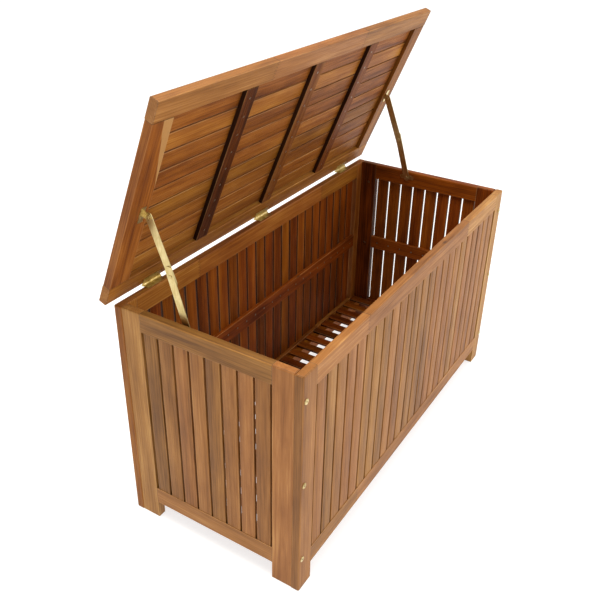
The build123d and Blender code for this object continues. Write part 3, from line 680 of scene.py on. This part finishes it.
def slat_row_tree() -> tuple[bpy.types.NodeTree, dict]:
    """Builds the tree for a row of equal slats: grain on X, row on Y, thickness on Z.

    Returns:
        The tree and its input identifiers by name.
    """
    tree, given, identifiers = new_geometry_tree("slat_row", [
        ("Count", "NodeSocketInt"), ("Pitch", "NodeSocketFloat"), ("Length", "NodeSocketFloat"),
        ("Width", "NodeSocketFloat"), ("Thickness", "NodeSocketFloat"), ("Arris", "NodeSocketFloat"),
        ("Seed", "NodeSocketInt"), ("Material", "NodeSocketMaterial")])
    outline = add(tree, "GeometryNodeCurvePrimitiveQuadrilateral",
                  {"Width": given["Width"], "Height": given["Thickness"]})
    eased = add(tree, "GeometryNodeFilletCurve", {"Curve": outline, "Radius": given["Arris"], "Count": 3},
                mode="POLY")
    half = add(tree, MATH, {0: given["Length"], 1: 0.5}, operation="MULTIPLY")
    back = add(tree, MATH, {0: given["Length"], 1: -0.5}, operation="MULTIPLY")
    spine = add(tree, "GeometryNodeCurvePrimitiveLine",
                {"Start": add(tree, COMBINE, {0: back}), "End": add(tree, COMBINE, {0: half})})
    upright = add(tree, "GeometryNodeSetCurveNormal", {"Curve": spine}, mode="Z_UP")
    slat = add(tree, "GeometryNodeCurveToMesh",
               {"Curve": upright, "Profile Curve": eased, "Fill Caps": True})
    placed = add(tree, "GeometryNodeStoreNamedAttribute",
                 {"Geometry": slat, "Name": "board_place", "Value": add(tree, "GeometryNodeInputPosition")},
                 data_type="FLOAT_VECTOR", domain="POINT")
    steps = add(tree, MATH, {0: given["Count"], 1: 1.0}, operation="SUBTRACT")
    start = add(tree, MATH, {0: add(tree, MATH, {0: steps, 1: given["Pitch"]}, operation="MULTIPLY"),
                             1: -0.5}, operation="MULTIPLY")
    row = add(tree, "GeometryNodeMeshLine", {
        "Count": given["Count"], "Start Location": add(tree, COMBINE, {1: start}),
        "Offset": add(tree, COMBINE, {1: given["Pitch"]})})
    slats = add(tree, "GeometryNodeInstanceOnPoints", {"Points": row, "Instance": placed})
    lot = add(tree, "FunctionNodeRandomValue", {"Seed": given["Seed"]}, data_type="FLOAT")
    lot.inputs[2].default_value, lot.inputs[3].default_value = TREE_SPAN
    seeded = add(tree, "GeometryNodeStoreNamedAttribute",
                 {"Geometry": slats, "Name": "board_seed", "Value": lot.outputs[1]},
                 data_type="FLOAT", domain="INSTANCE")
    finish_tree(tree, seeded, given["Material"])
    return tree, identifiers


def screw_set_tree() -> tuple[bpy.types.NodeTree, dict]:
    """Builds the tree that sets a screw, turned at random about its own axis, on every point.

    Returns:
        The tree and its input identifiers by name.
    """
    tree, given, identifiers = new_geometry_tree("screw_set", [
        ("Screw", "NodeSocketObject"), ("Seed", "NodeSocketInt"), ("Material", "NodeSocketMaterial")])
    screw = add(tree, "GeometryNodeObjectInfo", {"Object": given["Screw"], "As Instance": True},
                transform_space="ORIGINAL").outputs["Geometry"]
    spin = add(tree, "FunctionNodeRandomValue", {"Seed": given["Seed"]}, data_type="FLOAT")
    spin.inputs[2].default_value, spin.inputs[3].default_value = 0.0, tau
    turned = add(tree, COMBINE, {2: spin.outputs[1]})
    screws = add(tree, "GeometryNodeInstanceOnPoints",
                 {"Points": given["Geometry"], "Instance": screw, "Rotation": turned})
    finish_tree(tree, screws, given["Material"])
    return tree, identifiers


@dataclass
class SlatRow:
    """A row of equal slats that stands for one CAD node.

    Attributes:
        node: the CAD node, whose extent gives the row's sizes.
        run: how the slats lie.
        body: the body that the row rides on.
        count: number of slats.
        width: width of one slat.
        tone: colour family.
        lightness: added to the slats' place in their colour family.
        variety: how far one slat may differ from the next.
        sawn_and_shade: how dark the slats' sides are: darker oiled wood and painted shade in the gaps.
        on_lid: True for a row in the lid.
        arris: radius of the slats' rubbed edges.
        seat_clearance: how far the slats stay inside the CAD node.
        seed: of the slats' random places in the tree.
    """

    node: str
    run: Run
    body: str
    count: int
    width: float
    tone: Tone
    lightness: float = 0.0
    variety: float = 0.3
    sawn_and_shade: float = 0.6
    on_lid: bool = False
    arris: float = 1.4 * MM
    seat_clearance: float = 0.05 * MM
    seed: int = TREE_SEED

    def measure(self) -> tuple[Matrix, Vector, Vector, float]:
        """Works out the row from its CAD node.

        Returns:
            Directions, centre, the row's half sizes, and the pitch.
        """
        axes = self.run.axes(self.on_lid)
        centre, half = extent(self.node, axes)
        pitch = (2 * half.y - self.width) / (self.count - 1)
        return axes, centre, half, pitch

    def places(self) -> list[float]:
        """Centres of the slats along the row, from its middle."""
        pitch = self.measure()[3]
        return [(i - (self.count - 1) / 2) * pitch for i in range(self.count)]

    def build(self) -> bpy.types.Object:
        """Makes the slats, dresses them and puts them in the CAD node's place.

        Returns:
            The finished piece.
        """
        axes, centre, half, pitch = self.measure()
        length = 2 * (half.x - self.seat_clearance)
        thickness = 2 * (half.z - self.seat_clearance)
        wood = OiledAcacia(f"acacia_{self.node}", self.tone, axes, centre,
                           Vector((length, self.width, thickness)) / 2, None, self.lightness,
                           variety=self.variety, sawn_and_shade=self.sawn_and_shade)
        tree, identifiers = slat_row_tree()
        piece = run_tree(f"{self.node}_boards", bpy.data.meshes.new(self.node), tree, identifiers, {
            "Count": self.count, "Pitch": pitch, "Length": length, "Width": self.width,
            "Thickness": thickness, "Arris": self.arris, "Seed": self.seed,
            "Material": wood.material()}, Matrix.Translation(centre) @ axes.to_4x4())
        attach(piece, self.body)
        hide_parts(self.node)
        log.info("%s: %d slats, pitch %.1f mm", piece.name, self.count, pitch / MM)
        return piece


@dataclass
class CountersunkScrew:
    """A countersunk screw with a cross recess, head flush at z = 0 and point downwards.

    Attributes:
        head: head radius.
        shank: shank radius.
        length: from the head to the point.
        head_depth: height of the countersunk cone.
        rim_height: height of the head's straight rim.
        point: length of the point.
        slot_reach: length of one arm of the cross recess.
        slot_half: half an arm's width.
        slot_depth: depth of the recess.
        around: number of sides.
    """

    head: float = 3.0 * MM
    shank: float = 1.45 * MM
    length: float = 16 * MM
    head_depth: float = 1.8 * MM
    rim_height: float = 0.2 * MM
    point: float = 3 * MM
    slot_reach: float = 1.8 * MM
    slot_half: float = 0.4 * MM
    slot_depth: float = 0.9 * MM
    around: int = 12

    def build(self, name: str) -> bpy.types.Object:
        """Makes the screw as one closed mesh.

        Args:
            name: the object's name.

        Returns:
            The screw, ready to be instanced.
        """
        bm = bmesh.new()
        half, reach = self.slot_half, self.slot_reach
        arm = [(reach, -half), (reach, half), (half, half)]
        cross = [(x * cos(q) - y * sin(q), x * sin(q) + y * cos(q))
                 for q in (0, pi / 2, pi, 3 * pi / 2) for x, y in arm]
        rim = [bm.verts.new((x, y, 0)) for x, y in cross]
        floor = [bm.verts.new((0.75 * x, 0.75 * y, -self.slot_depth)) for x, y in cross]
        step = tau / self.around
        rings = []
        for radius, height in ((self.head, 0.0), (self.head, -self.rim_height),
                               (self.shank, -self.head_depth), (self.shank, self.point - self.length)):
            rings.append([bm.verts.new((radius * cos((i - 1) * step), radius * sin((i - 1) * step), height))
                          for i in range(self.around)])
        tip = bm.verts.new((0, 0, -self.length))
        for i in range(self.around):
            after = (i + 1) % self.around
            bm.faces.new([rim[i], rings[0][i], rings[0][after], rim[after]])
            bm.faces.new([rim[i], rim[after], floor[after], floor[i]])
        bm.faces.new(floor)
        for upper, lower in zip(rings, rings[1:]):
            for i in range(self.around):
                after = (i + 1) % self.around
                bm.faces.new([upper[i], lower[i], lower[after], upper[after]])
        for i in range(self.around):
            bm.faces.new([rings[-1][i], tip, rings[-1][(i + 1) % self.around]])
        bmesh.ops.recalc_face_normals(bm, faces=bm.faces)
        mesh = bpy.data.meshes.new(name)
        bm.to_mesh(mesh)
        bm.free()
        screw = bpy.data.objects.new(name, mesh)
        bpy.context.scene.collection.objects.link(screw)
        return screw


@dataclass
class ScrewSet:
    """Like screws set on many points, which stand for a CAD node or a share of one.

    Attributes:
        name: the piece's name.
        node: the CAD node they stand for.
        body: the body they ride on.
        points: head centres in the set's own frame, where the heads face +Z.
        place: the set's frame in the row frame.
        length: screw length.
        finish: the screws' material.
        slot: the record's material slot; not used.
        seed: of the screws' random turns.
    """

    name: str
    node: str
    body: str
    points: list[tuple[float, float, float]]
    place: Matrix
    length: float
    finish: bpy.types.Material
    slot: str
    seed: int = TREE_SEED

    def build(self) -> bpy.types.Object:
        """Makes the set and puts it in place.

        Returns:
            The finished piece.
        """
        screw = CountersunkScrew(length=self.length).build(f"{self.name}_one")
        base = bpy.data.meshes.new(self.name)
        base.from_pydata(self.points, [], [])
        tree, identifiers = screw_set_tree()
        piece = run_tree(self.name, base, tree, identifiers,
                         {"Screw": screw, "Seed": self.seed, "Material": self.finish}, self.place)
        bpy.data.objects.remove(screw)
        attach(piece, self.body)
        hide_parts(self.node)
        log.info("%s: %d screws", self.name, len(self.points))
        return piece


# ---- Sub-assemblies ------------------------------------------------------------

@dataclass
class Board:
    """One sawn board, which is a CAD node that keeps its shape.

    Attributes:
        node: the CAD node.
        run: how the board lies.
        tone: colour family.
        lightness: added to its place in the family.
        tenon: length of the hidden tongue at each end.
        jointed: length of its finger-jointed pieces.
        sawn_and_shade: how dark its sides are: darker oiled wood and painted shade.
        pale_wedge_size: length and width of a pale wedge at its inner front corner.
        on_lid: True for a board of the lid.
    """

    node: str
    run: Run
    tone: Tone = Tone.GOLDEN
    lightness: float = 0.0
    tenon: float = 0.0
    jointed: float = UNJOINTED
    sawn_and_shade: float = 0.2
    pale_wedge_size: tuple[float, float] = (0.0, 0.0)
    on_lid: bool = False

    def dress(self, seed: float) -> None:
        """Gives the board its wood.

        Args:
            seed: which part of the tree it is cut from.
        """
        axes = self.run.axes(self.on_lid)
        centre, half = extent(self.node, axes)
        visible = Vector((half.x - self.tenon, half.y, half.z))
        wood = OiledAcacia(f"acacia_{self.node}", self.tone, axes, centre, visible, seed,
                           self.lightness, self.jointed, sawn_and_shade=self.sawn_and_shade, pale_wedge_size=self.pale_wedge_size)
        dress(self.node, wood.material())
        log.info("%s: %.0f mm board", self.node, 2 * visible.x / MM)


@dataclass
class WallPanel:
    """A framed wall of upright slats with an inner rail that the slats are screwed to.

    Attributes:
        side: front, rear, left or right.
        stiles: the names of its two uprights.
        slat_count: number of slats.
        frame: colour family of the stiles and rails.
        tone: colour family of the slats.
        lightness: added to the slats' place in their family.
        variety: how far one slat may differ from the next.
        sawn_and_shade: how dark the slats' sides are: darker oiled wood and painted shade in the gaps.
        sawn_and_shade_rail: how dark the rails' upper and lower edges are: darker oiled wood and painted
            shade.
        frame_lightness: added to the stiles' and rails' place in their family.
        slat_width: width of one slat.
        screw_length: length of the screws through the inner rail.
        rail_piece: length of the pieces that a long rail is finger-jointed from.
    """

    side: str
    stiles: tuple[str, str]
    slat_count: int
    frame: Tone
    tone: Tone
    lightness: float = 0.0
    variety: float = 0.3
    sawn_and_shade: float = 0.6
    sawn_and_shade_rail: float = 0.2
    frame_lightness: float = 0.05
    slat_width: float = 38.5 * MM
    screw_length: float = 16 * MM
    rail_piece: float = 0.62

    def is_long(self) -> bool:
        """True for the front and rear walls."""
        return self.side in ("front", "rear")

    def build(self, draw: random.Random, screws: bpy.types.Material) -> None:
        """Dresses the frame, and makes the slats and their screws.

        Args:
            draw: the shared draw of seeds.
            screws: the screws' material.
        """
        rail = Run.RAIL_ALONG_X if self.is_long() else Run.RAIL_ALONG_Y
        upright = Run.UPRIGHT_FACING_Y if self.is_long() else Run.UPRIGHT_FACING_X
        for name in self.stiles:
            stile = Board(f"{self.side}_{name}_stile", upright, self.frame, self.frame_lightness)
            stile.dress(draw.uniform(*TREE_SPAN))
        for name in ("top_rail", "bottom_rail"):
            Board(f"{self.side}_{name}", rail, self.frame, self.frame_lightness, TENON,
                  self.rail_piece if self.is_long() else UNJOINTED,
                  self.sawn_and_shade_rail).dress(draw.uniform(*TREE_SPAN))
        # The inner rail faces into the box: its russet family is painted shade.
        Board(f"{self.side}_mid_rail", rail, Tone.RUSSET, sawn_and_shade=0.0).dress(draw.uniform(*TREE_SPAN))
        row = SlatRow(f"{self.side}_slats", upright, "box", self.slat_count, self.slat_width, self.tone,
                      self.lightness, self.variety, self.sawn_and_shade, seed=draw.randrange(SEED_COUNT))
        row.build()
        self.build_screws(row, upright.axes(), rail.axes(), screws)

    def build_screws(self, row: SlatRow, upright: Matrix, rail: Matrix, finish: bpy.types.Material) -> None:
        """Sets one screw through the inner rail at each slat.

        Args:
            row: the slats.
            upright: the slats' directions.
            rail: the inner rail's directions.
            finish: the screws' material.
        """
        centre, half = extent(f"{self.side}_mid_rail", rail)
        inward = {"front": Vector((0, 1, 0)), "rear": Vector((0, -1, 0)),
                  "left": Vector((1, 0, 0)), "right": Vector((-1, 0, 0))}[self.side]
        across = upright.col[1].copy()
        face = centre + inward * half.z
        axes = Matrix((across, inward.cross(across), inward)).transposed()
        points = [(x, 0.0, 0.0) for x in row.places()]
        ScrewSet(f"{self.side}_slat_screws", "slat_screws", "box", points,
                 Matrix.Translation(face) @ axes.to_4x4(), self.screw_length, finish,
                 "zinc_plated_steel").build()


@dataclass
class FloorGrating:
    """Floor slats from front to rear on two ledgers, screwed up through the ledgers.

    Attributes:
        slat_count: number of slats.
        slat_width: width of one slat.
        screw_length: length of the screws up through the ledgers.
        lightness: added to the slats' place in their family.
    """

    slat_count: int = 22
    slat_width: float = 30 * MM
    screw_length: float = 45 * MM
    lightness: float = -0.08

    def build(self, draw: random.Random, screws: bpy.types.Material) -> None:
        """Makes the slats and screws and dresses the ledgers.

        Args:
            draw: the shared draw of seeds.
            screws: the screws' material.
        """
        # The floor slats and ledgers lie inside the box: their russet family is painted shade.
        row = SlatRow("floor_slats", Run.FLAT_ALONG_Y, "box", self.slat_count, self.slat_width, Tone.RUSSET,
                      self.lightness, seed=draw.randrange(SEED_COUNT))
        row.build()
        for name in ("front_ledger", "rear_ledger"):
            Board(name, Run.RAIL_ALONG_X, Tone.RUSSET).dress(draw.uniform(*TREE_SPAN))
        lines = [sum(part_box(name), Vector()).y / 2 for name in ("front_ledger", "rear_ledger")]
        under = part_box("front_ledger")[0].z
        points = [(x, -y, 0.0) for x in row.places() for y in lines]
        upward = Matrix.Translation((0, 0, under)) @ Matrix.Rotation(pi, 4, "X")
        ScrewSet("floor_slat_screws", "floor_screws", "box", points, upward,
                 self.screw_length, screws, "zinc_plated_steel").build()
        dress("ledger_screws", screws)


@dataclass
class Lid:
    """The framed lid: two long rails, two stiles, slats between them and battens underneath.

    Attributes:
        slat_count: number of slats.
        slat_width: width of one slat.
        screw_length: length of the screws through the battens.
        battens: the battens' names, and how light each is in its colour family.
        pale_wedge_size: length and width of the pale wedge on the left stile.
    """

    slat_count: int = 9
    slat_width: float = 44 * MM
    screw_length: float = 16 * MM
    battens: dict[str, float] = field(default_factory=lambda: {"left": 0.1, "middle": 0.4, "right": 0.2})
    pale_wedge_size: tuple[float, float] = (175 * MM, 29 * MM)

    def build(self, draw: random.Random, screws: bpy.types.Material) -> None:
        """Dresses the frame and battens, and makes the slats and their screws.

        Args:
            draw: the shared draw of seeds.
            screws: the screws' material.
        """
        boards = [Board("lid_front_rail", Run.FLAT_ALONG_X, Tone.GOLDEN, 0.06, jointed=0.43, on_lid=True),
                  Board("lid_rear_rail", Run.FLAT_ALONG_X, Tone.AMBER, on_lid=True),
                  # The left stile sits 0.17 darker in its family: painted shade on the left end of the lid.
                  Board("lid_left_stile", Run.FLAT_ALONG_Y, Tone.AMBER, -0.17, TENON, on_lid=True,
                        pale_wedge_size=self.pale_wedge_size),
                  Board("lid_right_stile", Run.FLAT_ALONG_Y, Tone.AMBER, 0.0, TENON, on_lid=True)]
        # The battens' dark sides are partly painted shade under the lid.
        boards += [Board(f"lid_{name}_batten", Run.FLAT_ALONG_Y, Tone.WALNUT, lightness,
                         sawn_and_shade=0.9, on_lid=True) for name, lightness in self.battens.items()]
        for board in boards:
            board.dress(draw.uniform(*TREE_SPAN))
        row = SlatRow("lid_slats", Run.FLAT_ALONG_X, "lid", self.slat_count, self.slat_width, Tone.AMBER,
                      lightness=0.05, variety=0.35, sawn_and_shade=0.3, on_lid=True,
                      seed=draw.randrange(SEED_COUNT))
        row.build()
        self.build_screws(row, screws)

    def build_screws(self, row: SlatRow, finish: bpy.types.Material) -> None:
        """Sets one screw through each batten at each slat.

        Args:
            row: the lid's slats.
            finish: the screws' material.
        """
        axes = Run.FLAT_ALONG_X.axes(on_lid=True)
        down = axes @ Matrix.Diagonal((1, -1, -1))
        middle, _ = extent("lid_slats", axes)
        under = extent("lid_middle_batten", axes)
        face = under[0] - axes.col[2] * under[1].z
        inverse = down.transposed()
        places = [(inverse @ (extent(f"lid_{name}_batten", axes)[0] - face)).x for name in self.battens]
        shift = (inverse @ (middle - face)).y
        points = [(x, shift + y, 0.0) for x in places for y in row.places()]
        ScrewSet("lid_batten_screws", "lid_slat_screws", "lid", points,
                 Matrix.Translation(face) @ down.to_4x4(), self.screw_length, finish,
                 "zinc_plated_steel").build()


@dataclass
class Hardware:
    """Brass hinges, folding stays and corner bolts, which keep their CAD shapes.

    Attributes:
        hinges: nodes of stamped leaves and pins.
        screws: nodes of the fittings' screws.
        stay_fittings: nodes of the stays' brackets and rivets, and the corner bolts.
        arms: nodes of the stays' arms and elbow rivets.
    """

    hinges: tuple[str, ...] = ("hinge_box_leaves", "hinge_lid_leaves", "hinge_pins")
    screws: tuple[str, ...] = ("hinge_box_screws", "hinge_lid_screws", "stay_box_screws", "stay_lid_screws")
    stay_fittings: tuple[str, ...] = ("stay_box_brackets", "stay_lid_brackets", "stay_lid_rivets",
                                      "stay_box_rivets", "corner_bolts")
    arms: list[str] = field(default_factory=lambda: [
        f"{side}_{part}" for side in ("left", "right")
        for part in ("upper_arm", "lower_arm", "elbow_rivet_inner", "elbow_rivet_outer")])

    def build(self, steel: bpy.types.Material) -> None:
        """Dresses every fitting.

        Args:
            steel: material of the barrel nuts.
        """
        leaf = SolidBrass("tumbled_brass_leaf", (60.0, 900.0, 900.0)).material()
        strip = SolidBrass("rolled_brass_strip", (900.0, 350.0, 60.0), 0.35).material()
        turned = SolidBrass("turned_brass", (500.0, 500.0, 500.0)).material()
        small = self.screws + self.stay_fittings
        for finish, nodes in ((leaf, self.hinges), (turned, small), (strip, self.arms)):
            for node in nodes:
                dress(node, finish)
        dress("barrel_nuts", steel)
        log.info("hardware: %d fittings", len(self.hinges) + len(small) + len(self.arms))


# ---- Studio ------------------------------------------------------------------

@dataclass
class Studio:
    """A plain pale floor lit from below, soft light that comes mostly from the front right, and
    the camera.

    Attributes:
        eye: the camera's place.
        right: the camera's direction to its right.
        down: the camera's direction downwards.
        forward: the direction in which the camera looks.
        lens: focal length in millimetres.
        shift: how far the lens is shifted, as shares of the frame's width.
        floor_size: half the floor's side.
        floor_glow: strength of the light from the floor.
        sky_dim: the sky's strength on its dim side.
        sky_bright: the sky's strength on its bright side.
        sky_from: direction of the bright side.
        lamps: each lamp's name, place, side in metres and power in watts.
        aim: the point that the lamps face.
    """

    eye: tuple[float, float, float] = (-1.63688, -0.88653, 1.51445)
    right: tuple[float, float, float] = (0.530357, -0.847590, 0.017674)
    down: tuple[float, float, float] = (-0.412890, -0.276451, -0.867812)
    forward: tuple[float, float, float] = (0.740435, 0.452952, -0.496579)
    lens: float = 44.96
    shift: tuple[float, float] = (0.0017, -0.0103)
    floor_size: float = 30.0
    floor_glow: float = 0.7
    sky_dim: float = 0.35
    sky_bright: float = 1.0
    sky_from: tuple[float, float, float] = (0.45, -0.65, 0.61)
    lamps: tuple[tuple[str, tuple[float, float, float], float, float], ...] = (
        ("broad_lamp", (2.2, -2.6, 2.8), 2.2, 30.0),
        ("top_lamp", (-0.6, 0.4, 3.4), 1.8, 95.0))
    aim: tuple[float, float, float] = (0.0, 0.0, 0.4)

    def build(self) -> None:
        """Makes the floor, lights and camera."""
        self.build_floor()
        self.build_light()
        self.build_camera()
        bpy.context.scene.view_settings.view_transform = "Standard"

    def build_floor(self) -> None:
        """Lays the pale floor."""
        bm = bmesh.new()
        bmesh.ops.create_grid(bm, x_segments=1, y_segments=1, size=self.floor_size)
        mesh = bpy.data.meshes.new("studio_floor")
        bm.to_mesh(mesh)
        bm.free()
        floor = bpy.data.objects.new("studio_floor", mesh)
        bpy.context.scene.collection.objects.link(floor)
        material, _, shader = new_surface("pale_floor")
        shader.inputs["Base Color"].default_value = linear("BEBEBE")
        shader.inputs["Roughness"].default_value = 0.9
        shader.inputs["Emission Color"].default_value = linear("FFFFFF")
        shader.inputs["Emission Strength"].default_value = self.floor_glow
        mesh.materials.append(material)

    def build_light(self) -> None:
        """Lights the room: a soft sky that brightens towards one side and looks plain white, and
        two broad lamps."""
        world = bpy.data.worlds.new("studio_sky")
        world.use_nodes = True
        tree = world.node_tree
        way = add(tree, "ShaderNodeTexCoord").outputs["Generated"]
        cosine = add(tree, VECTOR_MATH, {0: way, 1: self.sky_from}, operation="DOT_PRODUCT")
        strength = add(tree, RANGE, {"Value": cosine.outputs["Value"], "From Min": -0.5, "From Max": 0.9,
                                     "To Min": self.sky_dim, "To Max": self.sky_bright})
        seen = add(tree, MATH, {0: strength, 1: add(tree, "ShaderNodeLightPath").outputs["Is Camera Ray"]},
                   operation="MAXIMUM")
        tree.links.new(seen.outputs[0], tree.nodes["Background"].inputs["Strength"])
        tree.nodes["Background"].inputs["Color"].default_value = (1, 1, 1, 1)
        bpy.context.scene.world = world
        for name, spot, size, power in self.lamps:
            lamp = bpy.data.lights.new(name, "AREA")
            lamp.size, lamp.energy = size, power
            lamp.color = linear("FFF6E8")[:3]
            holder = bpy.data.objects.new(name, lamp)
            bpy.context.scene.collection.objects.link(holder)
            holder.location = spot
            holder.rotation_euler = (Vector(self.aim) - Vector(spot)).to_track_quat("-Z", "Y").to_euler()

    def build_camera(self) -> None:
        """Sets the camera up from its three directions."""
        data = bpy.data.cameras.new("camera")
        data.lens, data.sensor_width = self.lens, 36.0
        data.shift_x, data.shift_y = self.shift
        data.clip_start, data.clip_end = 0.05, 100.0
        camera = bpy.data.objects.new("camera", data)
        bpy.context.scene.collection.objects.link(camera)
        turn = Matrix((Vector(self.right), -Vector(self.down), -Vector(self.forward))).transposed()
        camera.matrix_world = Matrix.Translation(self.eye) @ turn.to_4x4()
        bpy.context.scene.camera = camera


def main() -> None:
    """Builds the box, sub-assembly by sub-assembly, then the studio."""
    draw = random.Random(TREE_SEED)
    zinc = ZincPlatedSteel().material()
    panels = (
        WallPanel("front", ("left", "right"), 24, Tone.GOLDEN, Tone.GOLDEN, lightness=0.02, variety=0.2,
                  sawn_and_shade=0.15, frame_lightness=0.11),
        # The rear slats and the whole right wall are seen from inside the box: their russet family and dark
        # slat sides are painted shade.
        WallPanel("rear", ("left", "right"), 24, Tone.AMBER, Tone.RUSSET, variety=0.25, sawn_and_shade=0.8,
                  frame_lightness=0.08),
        # The left wall's rails get darker top and bottom faces: painted shade.
        WallPanel("left", ("front", "rear"), 8, Tone.GOLDEN, Tone.GOLDEN, lightness=-0.04, sawn_and_shade=0.2,
                  sawn_and_shade_rail=0.45),
        WallPanel("right", ("front", "rear"), 8, Tone.RUSSET, Tone.RUSSET, variety=0.2, sawn_and_shade=0.8,
                  frame_lightness=-0.04))
    for panel in panels:
        panel.build(draw, zinc)
    FloorGrating().build(draw, zinc)
    Lid().build(draw, zinc)
    Hardware().build(zinc)
    Studio().build()


if __name__ == "__main__":
    main()
